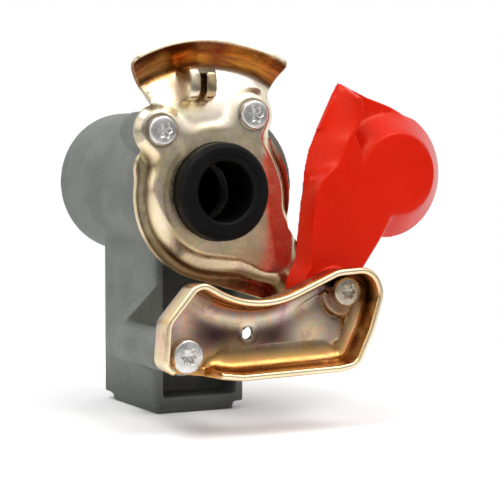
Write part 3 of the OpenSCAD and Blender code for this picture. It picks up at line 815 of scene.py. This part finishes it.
def corner(a, b, c, r, n=9):
    """Points of the arc that rounds the corner at b, on the way from a to c."""
    u, v = (a - b) / np.linalg.norm(a - b), (c - b) / np.linalg.norm(c - b)
    h = math.acos(float(np.clip(u @ v, -1, 1))) / 2
    m = b + (u + v) / np.linalg.norm(u + v) * r / math.sin(h)
    p, q = b + u * r / math.tan(h), b + v * r / math.tan(h)
    s, t = math.atan2(*(p - m)[::-1]), math.atan2(*(q - m)[::-1])
    t = t - 2 * math.pi if t - s > math.pi else t + 2 * math.pi if t - s < -math.pi else t
    turns = [s + (t - s) * i / n for i in range(n + 1)]
    return [m + r * np.array([math.cos(x), math.sin(x)]) for x in turns]


def rounded(points, radii):
    k = len(points)
    out = []
    for i in range(k):
        if radii[i]:
            out += corner(points[i - 1], points[i], points[(i + 1) % k], radii[i])
        else:
            out.append(points[i])
    return np.array(out)


def inset(points, d):
    """The outline's points moved inward by one distance."""
    k = len(points)
    out = []
    for i in range(k):
        a, b, c = points[i - 1], points[i], points[(i + 1) % k]
        s, t = (b - a) / np.linalg.norm(b - a), (c - b) / np.linalg.norm(c - b)
        n, m = np.array([s[1], -s[0]]), np.array([t[1], -t[0]])
        out.append(b + (n + m) * d / (1 + n @ m))
    return out


# The left end, the arc round the seal, the right end, the bottom and the open corner
ARC_STEPS = 30
TRAY_ARC = [polar(TRAY_ARC_R, 239 + 54 * i / ARC_STEPS) for i in range(ARC_STEPS + 1)]
OPEN_CORNER = [(x, -66.2 - (x + 8) * 4.2 / 31.5) for x in np.arange(-12.0, -35.0, -1.0)]
TRAY_POINTS = [np.array(p, float) for p in (
    [(-39.5, -62), (-38.2, -44), (-25.4, -29.2)] + TRAY_ARC
    + [(32, -27.6), (PIVOT[0] + 8.2, PIVOT[1] + 9.4), (PIVOT[0] + 12, PIVOT[1] - 1),
       (47.4, -51), (41, -64), (33, -65.2), (-8, -66.2)] + OPEN_CORNER)]
TRAY_RADII = [5, 7, 6] + [0] * len(TRAY_ARC) + [12, 9, 9, 0, 7, 0, 0] + [0] * len(OPEN_CORNER)
FLARE, FLOOR_BACK, RIM = 0.5, TRAY_GAP - SHEET, TRAY_GAP + TRAY_WALL
INNER_BEND, WIDE_BEND, OUTER_BEND = 4.6, 8.5, 4.0


def tray_floor(p):
    """Front of the floor: pad of the pivot, raised left end, right shelf and dished drain."""
    u, v = p.T
    to_pivot = np.linalg.norm(p - PIVOT, axis=1)
    w = TRAY_GAP + PIVOT_PAD * (1 - smooth_step((to_pivot - 9.2) / 1.5))
    lean = (p - [-21.0, -37.0]) @ np.array([-0.80, 0.60])
    w = w + 0.5 * np.maximum(lean - 2, 0) * smooth_step((lean - 2) / 5)
    shelf = smooth_step((u - 34.5 + 0.25 * np.maximum(-58 - v, 0) ** 1.3) / 2.4)
    w = w + 1.3 * shelf * smooth_step((to_pivot - 9) / 3)
    to_drain = np.linalg.norm(p - DRAIN, axis=1)
    return w - 0.6 * (1 - smooth_step((to_drain - 2.6) / 1.6))


def tray_rings():
    """Rings of points from the floor's back, over the wall's rim, to the floor's front."""
    base = rounded(TRAY_POINTS, TRAY_RADII)
    u, v = base.T
    # the wall is cut down beside the screw's head
    keep = 1 - 0.97 * smooth_step((9.8 - np.abs(u - LUG[0])) / 3.0) * (v < LUG[1])

    def level(d, w):
        radii = [max(r - d, 1) if r else 0 for r in TRAY_RADII]
        high = TRAY_GAP + (w - TRAY_GAP) * keep if w > TRAY_GAP else np.full(len(base), w)
        return np.column_stack([rounded(inset(TRAY_POINTS, d), radii), high])

    rings = []
    for i in range(9):
        a = math.pi / 2 * i / 8
        rings.append(level(OUTER_BEND * (1 - math.sin(a)),
                           FLOOR_BACK + OUTER_BEND * (1 - math.cos(a))))
    rings.append(level(-FLARE * 0.6, RIM - 4))
    for i in range(9):
        a = math.pi * i / 8
        rings.append(level(-FLARE + SHEET / 2 * (1 - math.cos(a)), RIM - 1.0 + math.sin(a)))
    rings.append(level(SHEET - FLARE * 0.4, TRAY_GAP + INNER_BEND + 2))
    # the inner bend is wider along the arc and widest along the bottom
    on_arc = (np.abs(np.linalg.norm(base, axis=1) - TRAY_ARC_R) < 0.6) * (np.abs(u) < 16)
    on_bottom = (v < -64.5) * smooth_step((u + 17) / 5) * (u < 34)
    wide = np.maximum(0.42 * on_arc, on_bottom)[:, None]
    for i in range(13):
        a = math.pi / 2 * (1 - i / 12)
        high = TRAY_GAP + INNER_BEND * (1 - math.cos(a))
        near = level(SHEET + INNER_BEND * (1 - math.sin(a)), high)
        far = level(SHEET + WIDE_BEND * (1 - math.sin(a)), high)
        rings.append(near + (far - near) * wide)
    return rings


def tray_film_and_light(p):
    """Colour, strokes and rainbow of the guide tray's chromate, with painted shade and painted
    highlights.
    """
    u, v, w = p.T
    patch = patch_on(p)
    rgb = np.tile([0.36, 0.28, 0.22], (len(p), 1))
    # painted shade: the upper part of the floor darker
    rgb = blend(rgb, smooth_step((v + 54) / 6), (0.20, 0.14, 0.155))
    to_pivot = np.linalg.norm(p[:, :2] - PIVOT, axis=1)
    reach = np.linalg.norm(p[:, :2], axis=1)
    high = smooth_step((w - TRAY_GAP - 1.0) / 4)
    bottom = smooth_step((-57 - v) / 5)
    highlight_under_arc = line(reach, TRAY_ARC_R + 8.8, 2.0) * smooth_step((30 - np.abs(u - 2)) / 8)
    # painted shade: dark patches left and right of the drain
    rgb = blend(rgb, 0.95 * patch(-14, -50.5, 10, 5.5), (0.05, 0.027, 0.04))
    rgb = blend(rgb, 0.95 * patch(10, -52, 9, 4.5), (0.05, 0.03, 0.033))
    # painted highlight: a pale band along the floor under the arc
    rgb = blend(rgb, 0.9 * highlight_under_arc, (0.95, 0.93, 0.92))
    # painted highlights: pale patches low on the right of the floor and left of the pivot's pad
    rgb = blend(rgb, 0.9 * patch(26, -51, 8, 7), (0.95, 0.91, 0.86))
    rgb = blend(rgb, 0.75 * patch(20, -38, 5, 4), (0.90, 0.88, 0.88))
    # gold film colour brightened into a painted reflection towards the bottom of the floor
    rgb = blend(rgb, 0.75 * smooth_step((-54 - v) / 6), (0.70, 0.46, 0.18))
    rgb = blend(rgb, 0.9 * high * (1 - bottom) * (1 - 0.7 * highlight_under_arc), (0.78, 0.46, 0.15))
    rgb = blend(rgb, 0.95 * bottom, (0.60, 0.33, 0.12))
    # painted highlight, light gold, on the tray's right end
    rgb = blend(rgb, 0.8 * patch(46, -48, 5, 10), (1.0, 0.74, 0.42))
    rgb = blend(rgb, 0.9 * patch(-28, -43, 5, 8), (0.95, 0.80, 0.80))
    # painted shade in a ring round the pivot's pad and in the right corner, a pale left end, and
    # a painted highlight along the rim
    rgb = blend(rgb, 0.8 * line(to_pivot, 10.6, 1.0) * (w < TRAY_GAP + 3), (0.12, 0.08, 0.04))
    rgb = blend(rgb, 0.8 * patch(48, -31, 6, 9) * (w < RIM - 1.5), (0.22, 0.13, 0.06))
    outer = np.maximum(-37.9 - u, (p[:, :2] - [-37.2, -43.3]) @ np.array([-0.756, 0.654]))
    rgb = blend(rgb, 0.85 * smooth_step(outer / 0.8), (0.90, 0.87, 0.70))
    rim = smooth_step((w - RIM + 0.5) / 0.4)
    return blend(rgb, rim, (1.0, 0.90, 0.68)), 0.0, 0.85 * (1 - rim) * (1 - 0.6 * bottom)


def guide_tray():
    rings = tray_rings()
    edge, back_edge = rings[-1][:, :2], rings[0][:, :2]
    drain = circle(DRAIN, DRAIN_R, 40)
    n = len(drain)
    grid = square_grid((-40, -68), (55, -26), 0.8)
    grid = grid[inside(grid, edge) & (np.linalg.norm(grid - DRAIN, axis=1) > 3.0)]
    flat, front = fill_sheet([edge, drain], grid[distance_to(grid, edge[::2]) > 0.7])
    fade = smooth_step(distance_to(flat, edge) / 2.5)
    under, back = fill_sheet([back_edge, drain], [])
    parts = rings + [
        np.column_stack([flat, TRAY_GAP + (tray_floor(flat) - TRAY_GAP) * fade]),
        np.column_stack([under, np.full(len(under), FLOOR_BACK)]),
        np.column_stack([drain, tray_floor(drain)]),
        np.column_stack([drain, np.full(n, FLOOR_BACK)])]
    faces = tube_faces(0, len(rings), len(edge))
    first = len(rings) * len(edge)
    faces += [tuple(i + first for i in t) for t in front]
    first += len(flat)
    faces += [tuple(i + first for i in t) for t in back]
    # the drain's wall between both skins
    rim = first + len(under)
    faces += [(rim + i, rim + n + i, rim + n + (i + 1) % n, rim + (i + 1) % n) for i in range(n)]
    obj = add_mesh("guide_tray_pressing", world(np.vstack(parts)), faces, PLATED, "head",
                   replaces=("guide_tray",), sharp=50)
    paint(obj, tray_film_and_light)


guide_tray()


# Turned pieces: seal and screws

def lathe(profile, name, material, replaces, centre, n=128):
    """A closed profile of radius and height, turned about a middle on the coupling face."""
    k = len(profile)
    verts, faces = [], []
    for i in range(n):
        x, y = math.cos(2 * math.pi * i / n), math.sin(2 * math.pi * i / n)
        verts += [(centre[0] + r * x, centre[1] + r * y, w) for r, w in profile]
        a, b = i * k, (i + 1) % n * k
        faces += [(a + j, a + (j + 1) % k, b + (j + 1) % k, b + j) for j in range(k)]
    add_mesh(name, world(verts), faces, material, "head", replaces, sharp=40)


def arc(centre, radius, start, end, n):
    return [tuple(centre + polar(radius, start + (end - start) * i / n)) for i in range(n + 1)]


EDGE_R, BORE_EDGE_R = 2.6, 1.3
seal_profile = (
    [(SEAL_BORE, STEM_END), (STEM_R, STEM_END), (STEM_R, COLLAR_BACK), (COLLAR_R, COLLAR_BACK),
     (COLLAR_R, COLLAR_FRONT), (SEAL_R, COLLAR_FRONT), (SEAL_R, 2.6)]
    + arc((SEAL_R - EDGE_R, SEAL_PROUD - EDGE_R), EDGE_R, 5, 85, 8)
    + [(SEAL_R - 4.2, SEAL_PROUD - 0.05), (SEAL_BORE + 3.0, SEAL_PROUD - 0.35)]
    + arc((SEAL_BORE + BORE_EDGE_R, SEAL_PROUD - 1.6), BORE_EDGE_R, 90, 180, 6))
lathe(seal_profile, "seal_moulding", RUBBER, ("seal_ring",), SEAL_AT)


SHANK_R, SHANK_TIP_R, SOCKET_R, SOCKET_LOBE = 2.97, 2.3, 2.6, 0.42


def screw_mesh(at, seat, length, head):
    """Pan head screw with a rounded head edge and a six-lobed socket."""
    n = 96
    a = np.linspace(0, 2 * math.pi, n, endpoint=False)
    lobe = SOCKET_R + SOCKET_LOBE * np.cos(6 * a)
    top = seat + HEAD_H
    rings = [(SHANK_TIP_R, seat - length), (SHANK_R, seat - length + 1), (SHANK_R, seat),
             (head - 0.3, seat), (head, seat + 0.3), (head, top - 1.3)]
    rings += [(head - 1.3 + 1.3 * math.cos(t), top - 1.25 + 1.1 * math.sin(t))
              for t in np.linspace(0.2, 1.4, 6)]
    rings += [(head - 1.9, top - 0.06), (lobe + 0.35, top), (lobe, top - 0.3),
              (lobe * 0.95, top - 1.6), (lobe * 0.3, top - 1.8), (0.02, top - 1.95)]
    verts = np.vstack([np.column_stack([at[0] + r * np.cos(a), at[1] + r * np.sin(a),
                                        np.full(n, w)]) for r, w in rings])
    return verts, [tuple(range(n - 1, -1, -1))] + tube_faces(0, len(rings), n)


def screws(name, node, places, material):
    verts, faces = np.zeros((0, 3)), []
    for at, seat, length, head in places:
        v, f = screw_mesh(at, seat, length, head)
        faces += [tuple(i + len(verts) for i in face) for face in f]
        verts = np.vstack([verts, v])
    add_mesh(name, world(verts), faces, material, "head", (node,), sharp=32)


CLAW_LENGTH, TRAY_LENGTH, PIVOT_LENGTH = 16.0, 20.0, TRAY_GAP + PIVOT_PAD + 6.5 + 14.0
screws("claw_cap_screws", "claw_screws",
       [(at, 0.0, CLAW_LENGTH, CLAW_HEAD_R) for at in (SCREW_L, SCREW_R)], ZINC)
screws("tray_cap_screw", "tray_screw", [(LUG, TRAY_GAP - 0.2, TRAY_LENGTH, TRAY_HEAD_R)], ZINC)
screws("pivot_cap_screw", "pivot_screw",
       [(PIVOT, TRAY_GAP + PIVOT_PAD, PIVOT_LENGTH, CLAW_HEAD_R)], WORN_ZINC)


# Finishes of the nodes that stay

FINISHES = (
    ("seal_backing_ring", ZINC), ("pivot_sleeve", SPRING), ("pivot_washer", ZINC),
    ("cover_spring", SPRING), ("filter_front_ring", FILTER), ("filter_screen", SCREEN),
    ("filter_seat", FILTER), ("filter_spring", SPRING), ("end_cap", CAP),
    ("end_cap_ring", RUBBER), ("retaining_ring", SPRING))
for node, material in FINISHES:
    nodes[node].data.materials.clear()
    nodes[node].data.materials.append(material)


# Floor, light and camera

def seen_directly(tree):
    """One for rays of the camera and for those that a shiny or clear surface sends on."""
    path = tree.nodes.new("ShaderNodeLightPath")
    last = path.outputs["Is Camera Ray"]
    for kind in ("Is Glossy Ray", "Is Transmission Ray"):
        either = tree.nodes.new("ShaderNodeMath")
        either.operation = "MAXIMUM"
        tree.links.new(last, either.inputs[0])
        tree.links.new(path.outputs[kind], either.inputs[1])
        last = either.outputs[0]
    return last


def floor():
    """Pale floor that keeps the shadow near the object and runs out into white."""
    s = Shader("pale_floor")
    colour = s.ramp(s.noise(3, 2), [(0.3, (0.93, 0.93, 0.93)), (0.7, (0.95, 0.95, 0.95))])
    s.set(Base_Color=colour, Roughness=0.9, Specular_IOR_Level=0.0)
    away = s.add("ShaderNodeVectorMath", operation="LENGTH")
    s.link(s.coord, away.inputs[0])
    far = s.span(away.outputs["Value"], 0, 1, (0.10, 0.27))
    white = s.add("ShaderNodeEmission")
    mix = s.add("ShaderNodeMixShader")
    s.link(s.product(far, seen_directly(s.tree)), mix.inputs["Fac"])
    s.link(s.bsdf.outputs["BSDF"], mix.inputs[1])
    s.link(white.outputs["Emission"], mix.inputs[2])
    s.link(mix.outputs["Shader"], s.tree.nodes["Material Output"].inputs["Surface"])
    mesh = bpy.data.meshes.new("floor")
    corners = [(-1.2, -0.5, 0), (1.2, -0.5, 0), (1.2, 1.6, 0), (-1.2, 1.6, 0)]
    mesh.from_pydata(corners, [], [(0, 1, 2, 3)])
    mesh.materials.append(s.mat)
    obj = bpy.data.objects.new("floor", mesh)
    obj.location.z = -0.0002
    bpy.context.scene.collection.objects.link(obj)


def area_light(name, place, target, size, power):
    data = bpy.data.lights.new(name, "AREA")
    data.shape = "RECTANGLE"
    data.size, data.size_y = size
    data.energy = power
    obj = bpy.data.objects.new(name, data)
    obj.location = place
    obj.rotation_euler = (Vector(target) - Vector(place)).to_track_quat("-Z", "Y").to_euler()
    bpy.context.scene.collection.objects.link(obj)


def sky():
    """Studio light that is brighter from above, in front of a white backdrop."""
    scene_world = bpy.data.worlds.new("studio")
    scene_world.use_nodes = True
    tree = scene_world.node_tree
    add, link = tree.nodes.new, tree.links.new
    split = add("ShaderNodeSeparateXYZ")
    link(add("ShaderNodeTexCoord").outputs["Generated"], split.inputs["Vector"])
    ramp = add("ShaderNodeValToRGB")
    stops = ramp.color_ramp.elements
    stops[0].position, stops[0].color = 0.08, (0.22, 0.22, 0.225, 1)
    stops[1].position, stops[1].color = 0.60, (1.0, 1.0, 1.0, 1)
    link(split.outputs["Z"], ramp.inputs["Fac"])
    studio = tree.nodes["Background"]
    link(ramp.outputs["Color"], studio.inputs["Color"])
    studio.inputs["Strength"].default_value = 1.05
    white = add("ShaderNodeBackground")
    white.inputs["Color"].default_value = (1, 1, 1, 1)
    white.inputs["Strength"].default_value = 1.0
    # shiny surfaces see the backdrop behind the object, and the studio on the camera's side
    behind = add("ShaderNodeMapRange")
    behind.inputs["From Min"].default_value = 0.0
    behind.inputs["From Max"].default_value = 0.3
    link(split.outputs["Y"], behind.inputs["Value"])
    fade = add("ShaderNodeMath")
    fade.operation = "MULTIPLY"
    link(seen_directly(tree), fade.inputs[0])
    link(behind.outputs["Result"], fade.inputs[1])
    both = add("ShaderNodeMath")
    both.operation = "MAXIMUM"
    link(fade.outputs[0], both.inputs[0])
    link(add("ShaderNodeLightPath").outputs["Is Camera Ray"], both.inputs[1])
    mix = add("ShaderNodeMixShader")
    link(both.outputs[0], mix.inputs["Fac"])
    link(studio.outputs["Background"], mix.inputs[1])
    link(white.outputs["Background"], mix.inputs[2])
    link(mix.outputs["Shader"], tree.nodes["World Output"].inputs["Surface"])
    bpy.context.scene.world = scene_world


floor()
sky()
area_light("top_softbox", (0.30, -0.60, 0.95), (0, -0.03, 0.09), (0.7, 0.5), 4.5)
area_light("left_softbox", (-0.95, -0.25, 0.45), (0, 0, 0.09), (0.5, 0.6), 0.9)
area_light("overhead_softbox", (-0.46, -0.22, 1.0), (0, 0, 0.09), (0.42, 0.38), 3.4)

# The camera of the photograph
camera = bpy.data.cameras.new("camera")
camera.sensor_width = 36.0
camera.sensor_fit = "HORIZONTAL"
camera.lens = 115.2
eye = bpy.data.objects.new("camera", camera)
right, up = Vector((0.88866, -0.45857, 0)), Vector((0.02632, 0.05101, 0.99835))
forward = Vector((0.45781, 0.88719, -0.05741))
turn = Matrix((right, up, -forward)).transposed().to_4x4()
eye.matrix_world = Matrix.Translation((-0.27646, -0.60641, 0.10211)) @ turn
bpy.context.scene.collection.objects.link(eye)
bpy.context.scene.camera = eye
bpy.context.scene.view_settings.view_transform = "Standard"
